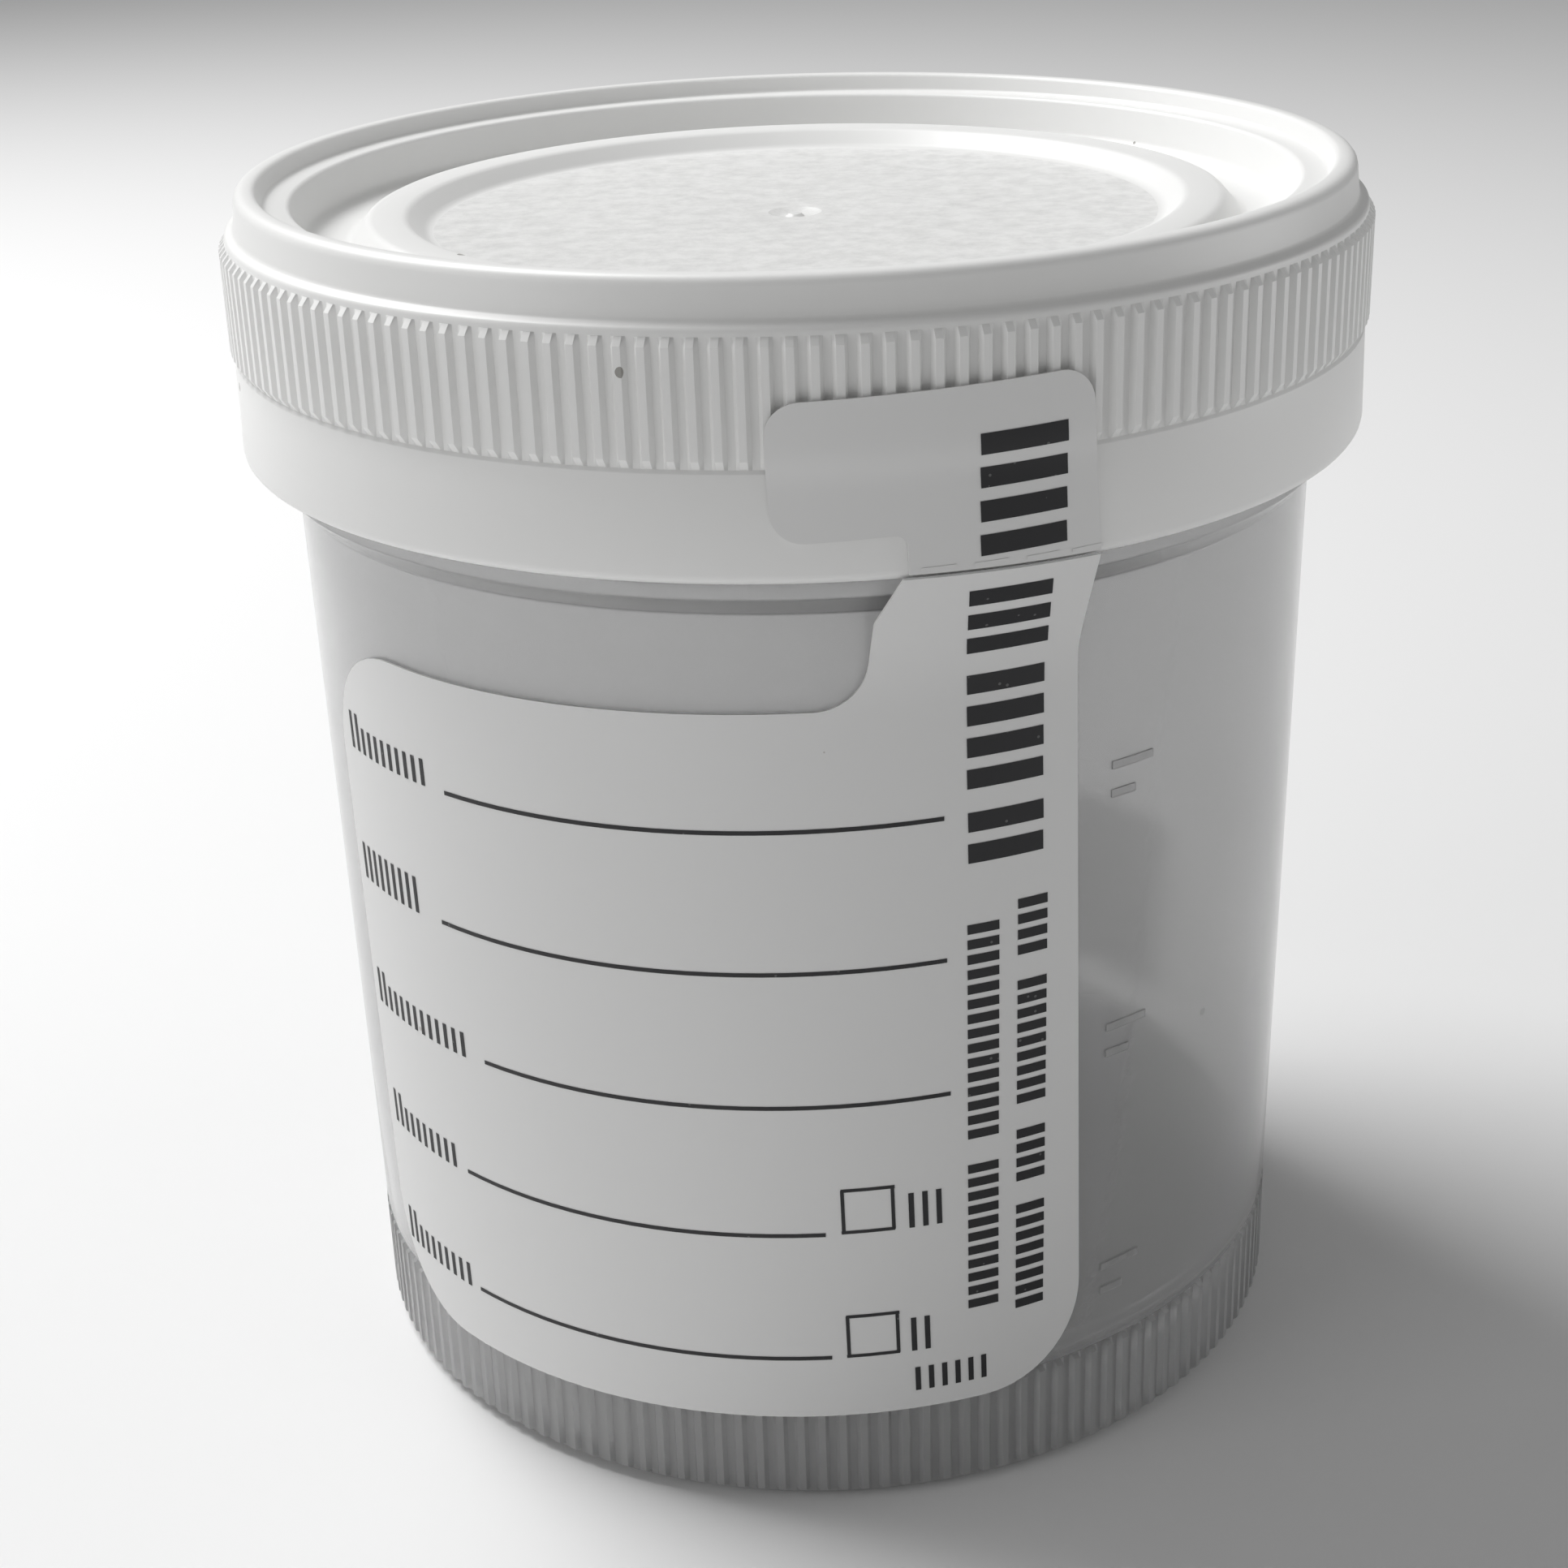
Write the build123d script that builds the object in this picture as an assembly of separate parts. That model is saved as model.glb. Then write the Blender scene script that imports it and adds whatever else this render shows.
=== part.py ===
from build123d import *
import os
from math import atan2, cos, degrees, hypot, pi, radians, sin, tan

os.makedirs("parts", exist_ok=True)

# Frame: origin at the middle of the foot, +Z up, the middle of the front at -Y.
# Lengths are millimetres, angles are degrees from the front, growing towards +X.

# Cup wall, with its draft as radius gained per millimetre of height
wall_radius_at_foot = 28.43
wall_draft = 0.0125
wall_thickness = 1.1
wall_top = 53.6

# Foot skirt and raised floor
foot_contact_inner = 27.05
foot_contact_outer = 27.7
skirt_inner_radius = 27.1
floor_top = 6.2
floor_thickness = 1.2
floor_corner_radius = 2.2
foot_edge_height = 0.45

# Ribbed band round the foot
foot_rib_count = 152
foot_rib_proud = 0.05
foot_groove_depth = 0.33
foot_rib_bottom = 0.75
foot_rib_top = 6.5
foot_rib_run_out = 0.22
foot_ledge_rise = 0.28

# Stop bead, neck and lip
bead_radius = 30.2
bead_bottom = 54.6
bead_top = 55.75
bead_edge = 0.3
neck_radius = 28.9
neck_thickness = 1.15
lip_top = 65.7
lip_edge = 0.35

# Lid section
lid_skirt_bottom = 56.0
lid_band_top = 61.45
lid_band_radius_top = 31.8
lid_band_radius_bottom = 31.93
lid_shoulder = 68.2
lid_collar_radius = 31.1
lid_rim_radius = 30.9
lid_rim_top = 70.48
lid_disc_top = 67.25
lid_disc_thickness = 1.2
ring_inner_radius = 20.6
ring_crest_inner = 21.75
ring_crest_outer = 23.85
ring_outer_radius = 24.9
ring_top = 68.25
channel_floor = 67.05
channel_outer_radius = 27.3
step_inner_radius = 28.0
step_outer_radius = 29.4
step_height = 69.45
rim_inner_radius = 29.8
rim_rounding = 0.6
lid_skirt_rounding = 0.55
lid_lead_in = 0.6

# Ribbed band round the lid
lid_rib_count = 176
lid_rib_crest = 32.0
lid_groove_depth = 0.34
lid_rib_bottom = 62.1
lid_rib_top = 67.45
lid_rib_run_out = 0.4

# Rib shape on both bands, as shares of the pitch
rib_crest_share = 0.42
rib_foot_share = 0.66

# Fits between cup and lid
thread_room = 1.4
lip_to_land_gap = 0.25
plug_to_neck_gap = 0.3
plug_length = 2.35
plug_thickness = 1.05

# Paper sheets
paper_thickness = 0.12
cup_adhesive_gap = 0.12
lid_adhesive_gap = 0.08
perforation_gap = 0.1
perforation_height = 56.32
tent_foot_height = 50.4
tent_bend_radius = 3.0


def unit(a, b):
    length = hypot(b[0] - a[0], b[1] - a[1])
    return ((b[0] - a[0]) / length, (b[1] - a[1]) / length)


def corner_arc(before, corner, after, radius):
    # Tangent points and middle of the arc that rounds one corner
    to_before = unit(corner, before)
    to_after = unit(corner, after)
    turn = atan2(
        abs(to_before[0] * to_after[1] - to_before[1] * to_after[0]),
        to_before[0] * to_after[0] + to_before[1] * to_after[1],
    )
    half = turn / 2
    reach = radius / tan(half)
    middle_way = unit((0, 0), (to_before[0] + to_after[0], to_before[1] + to_after[1]))
    middle_reach = radius / sin(half) - radius
    start = (corner[0] + to_before[0] * reach, corner[1] + to_before[1] * reach)
    end = (corner[0] + to_after[0] * reach, corner[1] + to_after[1] * reach)
    middle = (corner[0] + middle_way[0] * middle_reach, corner[1] + middle_way[1] * middle_reach)
    return start, middle, end


def corner_chords(before, corner, after, radius, steps=2):
    # The same rounding as a few chords, which keeps a turned section light
    start, middle, end = corner_arc(before, corner, after, radius)
    arc = ThreePointArc(start, middle, end)
    return [tuple(arc @ (step / steps))[:2] for step in range(steps + 1)]


def turned(corners):
    # Solid of revolution from a closed section of (radius, height, rounding) corners
    count = len(corners)
    points = []
    for index, (r, z, rounding) in enumerate(corners):
        if rounding > 0:
            before = corners[index - 1][:2]
            after = corners[(index + 1) % count][:2]
            points += corner_chords(before, (r, z), after, rounding)
        else:
            points.append((r, z))
    section = Polyline(*[on_section(point) for point in points], close=True)
    return revolve(make_face(section), Axis.Z, 360)


def on_section(point):
    return (point[0], 0, point[1])


def wall_radius(z):
    return wall_radius_at_foot + wall_draft * z


def rib_block(count, crest, depth, low, high, run_out):
    # One rib at the front: a tapered block whose root is buried in the wall behind it
    grow = 2
    root = crest - grow * depth
    pitch = 2 * pi * crest / count
    crest_half = pitch * rib_crest_share / 2
    root_half = crest_half + (pitch * rib_foot_share / 2 - crest_half) * grow
    bottom = low - run_out * grow
    top = high + run_out * grow
    plan = [
        (-root_half, -root, bottom),
        (root_half, -root, bottom),
        (crest_half, -crest, bottom),
        (-crest_half, -crest, bottom),
    ]
    side = [(0, -root, bottom), (0, -crest, low), (0, -crest, high), (0, -root, top)]
    bar = extrude(make_face(Polyline(*plan, close=True)), amount=top - bottom, dir=(0, 0, 1))
    ends = extrude(make_face(Polyline(*side, close=True)), amount=2 * root_half, both=True)
    return bar & ends


def rib_row(count, block):
    return [Rot(0, 0, index * 360 / count) * block for index in range(count)]


def cup():
    neck_inner = neck_radius - neck_thickness
    crest = wall_radius(foot_rib_top) + foot_rib_proud
    groove = crest - foot_groove_depth
    ledge = foot_rib_top + foot_rib_run_out + 0.03
    floor_under = floor_top - floor_thickness
    shell = turned([
        (0, floor_top, 0),
        (wall_radius(floor_top) - wall_thickness, floor_top, floor_corner_radius),
        (wall_radius(wall_top) - wall_thickness, wall_top, 0),
        (neck_inner, bead_top, 0),
        (neck_inner, lip_top, 0),
        (neck_radius - lip_edge, lip_top, 0),
        (neck_radius, lip_top - lip_edge, 0),
        (neck_radius, bead_top, 0),
        (bead_radius - bead_edge, bead_top, 0),
        (bead_radius, bead_top - bead_edge, 0),
        (bead_radius, bead_bottom, 0),
        (wall_radius(wall_top), wall_top, 0),
        (wall_radius(ledge + foot_ledge_rise), ledge + foot_ledge_rise, 0),
        (groove, ledge, 0),
        (groove, foot_edge_height, 0),
        (foot_contact_outer, 0, 0),
        (foot_contact_inner, 0, 0),
        (skirt_inner_radius, floor_under, 0),
        (0, floor_under, 0),
    ])
    block = rib_block(
        foot_rib_count,
        crest,
        foot_groove_depth,
        foot_rib_bottom,
        foot_rib_top,
        foot_rib_run_out,
    )
    return shell + rib_row(foot_rib_count, block)


def lid():
    groove = lid_rib_crest - lid_groove_depth
    bore = neck_radius + thread_room
    land = lip_top + lip_to_land_gap
    plug_outer = neck_radius - neck_thickness - plug_to_neck_gap
    plug_inner = plug_outer - plug_thickness
    disc_under = lid_disc_top - lid_disc_thickness
    shell = turned([
        (0, lid_disc_top, 0),
        (ring_inner_radius, lid_disc_top, 0),
        (ring_crest_inner, ring_top, 0),
        (ring_crest_outer, ring_top, 0),
        (ring_outer_radius, channel_floor, 0),
        (channel_outer_radius, channel_floor, 0),
        (step_inner_radius, step_height, 0),
        (step_outer_radius, step_height, 0),
        (rim_inner_radius, lid_rim_top, 0),
        (lid_rim_radius, lid_rim_top, rim_rounding),
        (lid_collar_radius, lid_shoulder + 0.2, 0),
        (groove - 0.2, lid_shoulder, 0),
        (groove, lid_shoulder - 0.2, 0),
        (groove, lid_band_top + 0.15, 0),
        (lid_band_radius_top, lid_band_top, 0),
        (lid_band_radius_bottom, lid_skirt_bottom, lid_skirt_rounding),
        (bore + lid_lead_in, lid_skirt_bottom, 0),
        (bore, lid_skirt_bottom + lid_lead_in, 0),
        (bore, land, 0),
        (plug_outer, land, 0),
        (plug_outer - 0.3, land - plug_length, 0),
        (plug_inner, land - plug_length, 0),
        (plug_inner, disc_under, 0),
        (0, disc_under, 0),
    ])
    block = rib_block(
        lid_rib_count,
        lid_rib_crest,
        lid_groove_depth,
        lid_rib_bottom,
        lid_rib_top,
        lid_rib_run_out,
    )
    return shell + rib_row(lid_rib_count, block)


def sheet_shell(path, roundings):
    # Thin turned sheet that follows a path of (radius, height) points
    inner = []
    outer = []
    last = len(path) - 1
    for index, (r, z) in enumerate(path):
        along_before = unit(path[index - 1], path[index]) if index > 0 else unit(path[0], path[1])
        along_after = unit(path[index], path[index + 1]) if index < last else along_before
        normal = unit((0, 0), (along_before[1] + along_after[1], -along_before[0] - along_after[0]))
        slant = normal[0] * along_after[1] - normal[1] * along_after[0]
        step = paper_thickness / slant
        inner.append((r, z, roundings[index] + (paper_thickness if roundings[index] else 0)))
        outer.append((r + normal[0] * step, z + normal[1] * step, roundings[index]))
    return turned(inner + outer[::-1])


def rounded_outline(corners, steps):
    # Flat outline of (along, up, rounding) corners as many short chords
    count = len(corners)
    outline = []
    for index, (s, z, rounding) in enumerate(corners):
        before = corners[index - 1][:2]
        after = corners[(index + 1) % count][:2]
        if rounding > 0:
            start, middle, end = corner_arc(before, (s, z), after, rounding)
            arc = ThreePointArc(start, middle, end)
            outline += [tuple(arc @ (step / steps))[:2] for step in range(steps + 1)]
        else:
            outline.append((s, z))
    return outline


def chopped(outline, longest):
    # The same outline with its long straight runs split
    result = []
    for index, here in enumerate(outline):
        there = outline[(index + 1) % len(outline)]
        pieces = int(hypot(there[0] - here[0], there[1] - here[1]) / longest) + 1
        for piece in range(pieces):
            share = piece / pieces
            s = here[0] + (there[0] - here[0]) * share
            z = here[1] + (there[1] - here[1]) * share
            result.append((s, z))
    return result


def leaned(corners, middle, slope):
    # Turns an outline a little round its middle, as a hand-laid sheet sits
    result = []
    for s, z, rounding in corners:
        ds = s - middle[0]
        dz = z - middle[1]
        result.append((middle[0] + ds - slope * dz, middle[1] + dz + slope * ds, rounding))
    return result


def die_cut(outline, path, facing):
    # Straight prism through an outline laid round a turned sheet, cut along one facing
    points = []
    for s, z in outline:
        r = radius_on(path, z)
        points.append((r * sin(s / r - radians(facing)), z))
    across = (cos(radians(facing)), sin(radians(facing)), 0)
    outward = (sin(radians(facing)), -cos(radians(facing)), 0)
    plane = Plane(origin=(0, 0, 0), x_dir=across, z_dir=outward)
    return extrude(plane * make_face(Polyline(*points, close=True)), amount=40, dir=outward)


# Longest chord of a paper outline, and how far a sheet runs on past its outline before the cut
outline_chord = 6.0
outline_spare = 1.5

# Front label: writing panel with a strip that flares a little on its way up to the lid
panel_width = 46.2
panel_height = 42.5
panel_middle = (-9.4, 27.1)
panel_lean = 0.0214
panel_corner = 7.2
panel_corner_small = 6.0
strip_fillet = 2.8
strip_left_low = 2.45
strip_left_middle = 3.05
strip_left_high = 4.67
strip_right_high = 14.6
strip_flare_height = 53.3
strip_flare_rounding = 0.8

# Seal flag on the lid
flag_neck_left = 4.0
flag_right = 13.5
flag_right_low = 13.8
flag_left = -2.35
flag_bottom = 58.42
flag_top = 65.2
flag_corner = 1.7
flag_corner_low = 1.4
flag_neck_rounding = 0.6
flag_middle_height = 60.0
flag_lean = 0.04

# Blank sticker at the back
back_label_bottom = 8.9
back_label_top = 22.3
back_label_start = 118.7
back_label_end = 182.7
back_label_corner = 1.2


def lid_face_path(start, end):
    # Inner face of a sheet laid on the lid: over the plain band, then over the rib crests
    share = (start - lid_skirt_bottom) / (lid_band_top - lid_skirt_bottom)
    start_radius = lid_band_radius_bottom + (lid_band_radius_top - lid_band_radius_bottom) * share
    return [
        (start_radius + lid_adhesive_gap, start),
        (lid_band_radius_top + lid_adhesive_gap, lid_band_top),
        (lid_rib_crest + lid_adhesive_gap, lid_rib_bottom),
        (lid_rib_crest + lid_adhesive_gap, end),
    ]


def radius_on(path, z):
    # Radius of a path of (radius, height) points at one height
    for (r0, z0), (r1, z1) in zip(path, path[1:]):
        if z <= z1:
            return r0 + (r1 - r0) * max(0, (z - z0) / (z1 - z0))
    return path[-1][0]


def label():
    tent_foot = wall_radius(tent_foot_height) + cup_adhesive_gap
    sheet_top = perforation_height - perforation_gap
    tent_top = lid_face_path(sheet_top, flag_top)[0][0]
    right = panel_middle[0] + panel_width / 2
    left = panel_middle[0] - panel_width / 2
    top = panel_middle[1] + panel_height / 2
    bottom = panel_middle[1] - panel_height / 2
    start = bottom - outline_spare

    path = [
        (wall_radius(start) + cup_adhesive_gap, start),
        (tent_foot, tent_foot_height),
        (tent_top, sheet_top),
    ]
    shell = sheet_shell(path, [0, tent_bend_radius, 0])
    outline = rounded_outline(
        leaned(
            [
                (left, bottom, panel_corner),
                (right, bottom, panel_corner_small),
                (right, tent_foot_height, 0),
                (strip_right_high, sheet_top, 0),
                (strip_right_high, sheet_top + outline_spare, 0),
                (strip_left_high, sheet_top + outline_spare, 0),
                (strip_left_high, sheet_top, 0),
                (strip_left_middle, strip_flare_height, strip_flare_rounding),
                (strip_left_low, top, strip_fillet),
                (left, top, panel_corner),
            ],
            panel_middle,
            panel_lean,
        ),
        5,
    )
    facing = degrees(panel_middle[0] / radius_on(path, panel_middle[1]))
    return shell & die_cut(chopped(outline, outline_chord), path, facing)


def seal_tab():
    below = perforation_height - outline_spare
    path = lid_face_path(perforation_height, flag_top + outline_spare)
    shell = sheet_shell(path, [0, 0, 0, 0])
    outline = rounded_outline(
        leaned(
            [
                (flag_neck_left, below, 0),
                (flag_right_low, below, 0),
                (flag_right, flag_top, flag_corner),
                (flag_left, flag_top, flag_corner),
                (flag_left, flag_bottom, flag_corner_low),
                (flag_neck_left, flag_bottom, flag_neck_rounding),
            ],
            (flag_right / 2, flag_middle_height),
            flag_lean,
        ),
        4,
    )
    facing = degrees((flag_left + flag_right) / 2 / radius_on(path, flag_top))
    return shell & die_cut(chopped(outline, outline_chord), path, facing)


def back_label():
    facing = (back_label_start + back_label_end) / 2
    middle_height = (back_label_bottom + back_label_top) / 2
    radius = wall_radius(middle_height) + cup_adhesive_gap
    low = back_label_bottom - outline_spare
    high = back_label_top + outline_spare
    path = [
        (wall_radius(low) + cup_adhesive_gap, low),
        (wall_radius(high) + cup_adhesive_gap, high),
    ]
    shell = sheet_shell(path, [0, 0])
    start = radians(back_label_start) * radius
    end = radians(back_label_end) * radius
    outline = rounded_outline(
        [
            (start, back_label_bottom, back_label_corner),
            (end, back_label_bottom, back_label_corner),
            (end, back_label_top, back_label_corner),
            (start, back_label_top, back_label_corner),
        ],
        3,
    )
    return shell & die_cut(chopped(outline, outline_chord), path, facing)


export_step(cup(), "parts/cup.step")
export_step(lid(), "parts/lid.step")
export_step(label(), "parts/label.step")
export_step(seal_tab(), "parts/seal_tab.step")
export_step(back_label(), "parts/back_label.step")
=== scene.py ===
import math

import bmesh
import bpy
from mathutils import Matrix, Vector


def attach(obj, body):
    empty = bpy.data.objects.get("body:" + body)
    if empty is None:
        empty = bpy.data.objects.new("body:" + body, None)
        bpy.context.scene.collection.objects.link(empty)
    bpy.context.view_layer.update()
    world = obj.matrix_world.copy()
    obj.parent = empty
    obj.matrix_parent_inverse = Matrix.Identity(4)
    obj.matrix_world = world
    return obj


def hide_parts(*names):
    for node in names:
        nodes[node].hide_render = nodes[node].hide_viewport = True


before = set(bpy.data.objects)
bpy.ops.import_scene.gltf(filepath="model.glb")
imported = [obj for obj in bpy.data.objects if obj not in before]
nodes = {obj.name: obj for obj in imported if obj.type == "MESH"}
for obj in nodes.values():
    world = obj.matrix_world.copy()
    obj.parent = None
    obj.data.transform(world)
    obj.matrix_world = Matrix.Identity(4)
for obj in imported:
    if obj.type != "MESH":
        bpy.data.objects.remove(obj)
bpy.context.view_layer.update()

mm = 0.001
print("frame loaded")


# Small helpers for modelling

modelling = {
    "hardEdge": 35, "paperEdge": 50,  # degrees, and sharper bends are shaded as edges
    "merge": 0.0005, "rowMerge": 0.001, "sheetMerge": 0.0002, "cut": 0.0001,  # all in mm
    "nearRadius": 0.02, "nearHeight": 0.01,
}


def clearSelection():
    if bpy.context.object and bpy.context.object.mode != "OBJECT":
        bpy.ops.object.mode_set(mode="OBJECT")
    bpy.ops.object.select_all(action="DESELECT")


def pickOnly(obj):
    clearSelection()
    obj.select_set(True)
    bpy.context.view_layer.objects.active = obj


def editAll(obj):
    # Edit mode, with the whole mesh selected
    if obj.mode != "EDIT":
        pickOnly(obj)
        bpy.ops.object.mode_set(mode="EDIT")
    bpy.ops.mesh.select_all(action="SELECT")


def leaveEdit():
    bpy.ops.object.mode_set(mode="OBJECT")


def rename(obj, name):
    obj.name = name
    obj.data.name = name


def applyModifier(obj, kind, **settings):
    pickOnly(obj)
    modifier = obj.modifiers.new(kind.title(), kind)
    for key, value in settings.items():
        setattr(modifier, key, value)
    bpy.ops.object.modifier_apply(modifier=modifier.name)


def selectWhere(obj, test):
    # Vertices picked by their place, in edit mode
    mesh = bmesh.from_edit_mesh(obj.data)
    for vertex in mesh.verts:
        vertex.select = False
    for vertex in mesh.verts:
        vertex.select = bool(test(vertex.co))
    mesh.select_flush_mode()
    bmesh.update_edit_mesh(obj.data)


def roundedCorners(corners):
    # (across, up) corners stay sharp, (across, up, rounding, steps) ones become arcs
    points = []
    for index, corner in enumerate(corners):
        if len(corner) == 2:
            points.append(corner)
            continue
        rounding, steps = corner[2:]
        here = Vector(corner[:2])
        back = (Vector(corners[index - 1][:2]) - here).normalized()
        ahead = (Vector(corners[(index + 1) % len(corners)][:2]) - here).normalized()
        half = back.angle(ahead) / 2
        centre = here + (back + ahead).normalized() * rounding / math.sin(half)
        start = here + back * rounding / math.tan(half) - centre
        end = here + ahead * rounding / math.tan(half) - centre
        turn = start.angle_signed(end)
        for step in range(steps + 1):
            spoke = start.copy()
            spoke.rotate(Matrix.Rotation(-turn * step / steps, 2))
            points.append(tuple(centre + spoke))
    return points


def drawChain(name, points):
    # One vertex, extruded along the points like a hand-drawn profile, left in edit mode
    clearSelection()
    place = (points[0][0] * mm, 0, points[0][1] * mm)
    bpy.ops.mesh.primitive_plane_add(size=mm, location=place)
    obj = bpy.context.object
    rename(obj, name)
    bpy.ops.object.transform_apply(location=True, rotation=True, scale=True)
    bpy.ops.object.mode_set(mode="EDIT")
    bpy.ops.mesh.merge(type="CENTER")
    for (x0, z0), (x1, z1) in zip(points, points[1:]):
        move = {"value": ((x1 - x0) * mm, 0, (z1 - z0) * mm)}
        bpy.ops.mesh.extrude_vertices_move(TRANSFORM_OT_translate=move)
    return obj


def closeUp(obj):
    # Doubles merged, faces outward, soft shading except at real edges
    editAll(obj)
    bpy.ops.mesh.remove_doubles(threshold=modelling["merge"] * mm)
    bpy.ops.mesh.normals_make_consistent(inside=False)
    leaveEdit()
    bpy.ops.object.shade_smooth_by_angle(angle=math.radians(modelling["hardEdge"]))


def faceOut(obj):
    # A thin coil can come out inside out, which the sign of its volume shows
    mesh = bmesh.new()
    mesh.from_mesh(obj.data)
    volume = mesh.calc_volume(signed=True)
    mesh.free()
    if volume < 0:
        editAll(obj)
        bpy.ops.mesh.flip_normals()
        leaveEdit()


def raiseRib(obj, rib, pitch):
    # The crest columns of one pitch are scaled out from the axis between the rib's ends
    low, high = rib["low"] - modelling["nearHeight"], rib["high"] + modelling["nearHeight"]

    def onCrest(co):
        radius = math.hypot(co.x, co.y)
        if abs(radius - rib["floor"] * mm) > modelling["nearRadius"] * mm:
            return False
        if not low < co.z / mm < high:
            return False
        share = abs(math.atan2(co.y, co.x)) / pitch
        return share < rib["crestShare"] or share > 1 - rib["crestShare"]

    selectWhere(obj, onCrest)
    grow = rib["crest"] / rib["floor"]
    bpy.ops.transform.resize(value=(grow, grow, 1), center_override=(0, 0, 0))


def turnRow(obj, rib):
    # One pitch of a turned piece, with its rib shaped once, copied round the axis
    pitch = 2 * math.pi / rib["count"]
    bpy.ops.mesh.select_all(action="SELECT")
    bpy.ops.mesh.spin(steps=rib["steps"], angle=pitch, center=(0, 0, 0), axis=(0, 0, 1))
    raiseRib(obj, rib, pitch)
    leaveEdit()
    furthest = max(vertex.co.y for vertex in obj.data.vertices)
    way = 1 if furthest > modelling["nearHeight"] * mm else -1  # the side that the spin took
    bpy.ops.object.empty_add(rotation=(0, 0, way * pitch))
    turner = bpy.context.object
    applyModifier(
        obj, "ARRAY", count=rib["count"], use_relative_offset=False, use_object_offset=True,
        offset_object=turner, use_merge_vertices=True, use_merge_vertices_cap=True,
        merge_threshold=modelling["rowMerge"] * mm,
    )
    bpy.data.objects.remove(turner)
    closeUp(obj)


# Cup: one milky moulding

cupShape = {
    "wallAtFoot": 28.43, "draft": 0.0125, "wall": 1.1, "wallTop": 53.6,
    "wallRings": [20, 37],  # plain rings along the tall wall
    "floorTop": 6.2, "floor": 1.2, "floorRing": 9,
    "footOut": 27.7, "footIn": 27.05, "skirtIn": 27.1, "toe": 0.45, "ribRing": 3.6,
    "ledgeRise": 0.25, "ledgeSlope": 0.28,
    "bead": 30.2, "beadLow": 54.6, "beadHigh": 55.75, "beadSide": 0.15,
    "neck": 28.9, "neckWall": 1.15, "lip": 65.7,
    "soft": {  # rounding and its steps, corner by corner
        "floor": (2.2, 6), "shoulder": (1.2, 2), "lipInside": (0.4, 4), "lipOutside": (0.35, 4),
        "neckFoot": (0.25, 3), "bead": (0.35, 4), "underBead": (0.5, 4), "ledgeOut": (0.08, 2),
        "ledgeIn": (0.06, 2), "toe": (0.2, 2), "foot": (0.12, 2), "skirt": (0.8, 3),
    },
    "rib": {
        "count": 152, "steps": 6, "crest": 28.561, "floor": 28.231, "low": 0.75, "high": 6.5,
        "crestShare": 0.26,
    },
}


def wallRadius(z):
    return cupShape["wallAtFoot"] + cupShape["draft"] * z


def makeCup(shape):
    rib, soft, wall = shape["rib"], shape["soft"], shape["wall"]
    floorTop, wallTop = shape["floorTop"], shape["wallTop"]
    neckIn = shape["neck"] - shape["neckWall"]
    under = floorTop - shape["floor"]
    ledge = rib["high"] + shape["ledgeRise"]
    aboveLedge = ledge + shape["ledgeSlope"]
    inside = [
        (0, floorTop),
        (shape["floorRing"], floorTop),
        (wallRadius(floorTop) - wall, floorTop, *soft["floor"]),
        *[(wallRadius(z) - wall, z) for z in shape["wallRings"]],
        (wallRadius(wallTop) - wall, wallTop, *soft["shoulder"]),
        (neckIn, shape["beadHigh"], *soft["shoulder"]),
        (neckIn, shape["lip"], *soft["lipInside"]),
    ]
    outside = [
        (shape["neck"], shape["lip"], *soft["lipOutside"]),
        (shape["neck"], shape["beadHigh"], *soft["neckFoot"]),
        (shape["bead"], shape["beadHigh"], *soft["bead"]),
        (shape["bead"], shape["beadLow"] + shape["beadSide"], *soft["bead"]),
        (wallRadius(wallTop), wallTop, *soft["underBead"]),
        *[(wallRadius(z), z) for z in reversed(shape["wallRings"])],
        (wallRadius(aboveLedge), aboveLedge, *soft["ledgeOut"]),
        (rib["floor"], ledge, *soft["ledgeIn"]),
        (rib["floor"], rib["high"]),
        (rib["floor"], shape["ribRing"]),
        (rib["floor"], rib["low"]),
        (rib["floor"], shape["toe"], *soft["toe"]),
    ]
    foot = [
        (shape["footOut"], 0, *soft["foot"]),
        (shape["footIn"], 0, *soft["foot"]),
        (shape["skirtIn"], under, *soft["skirt"]),
        (0, under),
    ]
    obj = drawChain("cupBody", roundedCorners(inside + outside + foot))
    turnRow(obj, rib)
    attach(obj, "cup_body")
    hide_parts("cup")
    return obj


cupBody = makeCup(cupShape)
print("cup made", len(cupBody.data.polygons))


# Lid: one white moulding

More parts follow.
